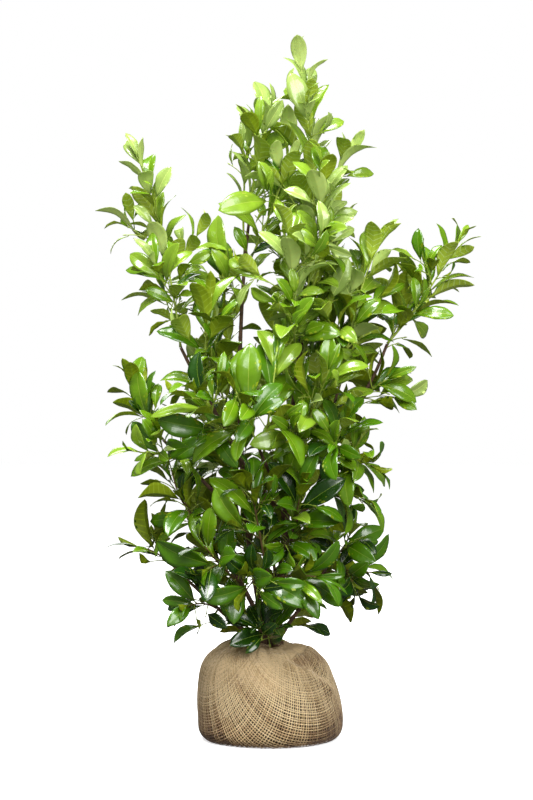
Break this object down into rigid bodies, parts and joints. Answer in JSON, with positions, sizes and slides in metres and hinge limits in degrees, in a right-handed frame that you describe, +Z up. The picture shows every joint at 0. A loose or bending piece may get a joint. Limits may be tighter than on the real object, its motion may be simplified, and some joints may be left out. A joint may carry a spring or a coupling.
{
  "type": "cherry laurel shrub with wrapped root ball",
  "caption": "Evergreen multi-stemmed cherry laurel shrub, lifted for planting, standing on its root ball wrapped in woven jute cloth.",
  "frame": {"origin": "middle of the flat underside of the root ball", "axes": "+Z up along the stems; the side seen in the front view faces -Y; +X to the right of that view"},
  "size_m": [0.876, 0.6868, 1.6116],
  "materials": {
    "bark": "dull brown bark, fine cracks and lenticels",
    "young_leaves": "leathery yellow-green leaf, soft gloss",
    "old_leaves": "leathery dark green leaf, glossy above",
    "jute_cloth": "rough open jute weave over dark soil"
  },
  "bodies": {
    "root": {"root_ball": "jute_cloth", "trunk": "bark", "rear_stem": "bark", "left_stem": "bark", "left_bough": "bark", "outer_left_bough": "bark", "lower_left_bough": "bark", "right_bough": "bark", "outer_right_bough": "bark", "inner_right_bough": "bark", "lower_right_bough": "bark", "back_bough": "bark", "front_bough": "bark", "lower_back_bough": "bark", "lower_front_bough": "bark", "leader": "young_leaves", "rear_leader": "young_leaves", "rear_twin": "young_leaves", "crossing": "young_leaves", "window_spray": "young_leaves", "top_left": "young_leaves", "front_high": "young_leaves", "right_high": "young_leaves", "front_mid_high": "young_leaves", "back_high": "young_leaves", "left_inner": "young_leaves", "top_right": "young_leaves", "right_tip": "young_leaves", "right_back_tip": "young_leaves", "right_lateral": "young_leaves", "far_left": "young_leaves", "left_shelf": "old_leaves", "left_front": "young_leaves", "front_centre": "young_leaves", "centre_front": "young_leaves", "front_right": "young_leaves", "left_column": "young_leaves", "right_column": "young_leaves", "right_shelf": "old_leaves", "right_low_shelf": "old_leaves", "right_front": "old_leaves", "mid_left": "old_leaves", "low_left_reach": "old_leaves", "low_left_front": "old_leaves", "low_front_left": "old_leaves", "low_front": "old_leaves", "low_front_right": "old_leaves", "mid_front_left": "old_leaves", "mid_front_right": "old_leaves", "low_right_up": "old_leaves", "low_right_reach": "old_leaves", "basal_sprout": "old_leaves", "back_low_left": "old_leaves", "back_low_right": "old_leaves", "back_centre": "old_leaves", "back_mid_left": "old_leaves", "back_mid_right": "young_leaves", "back_top": "young_leaves", "back_high_left": "young_leaves", "back_high_right": "young_leaves"}
  },
  "joints": []
}
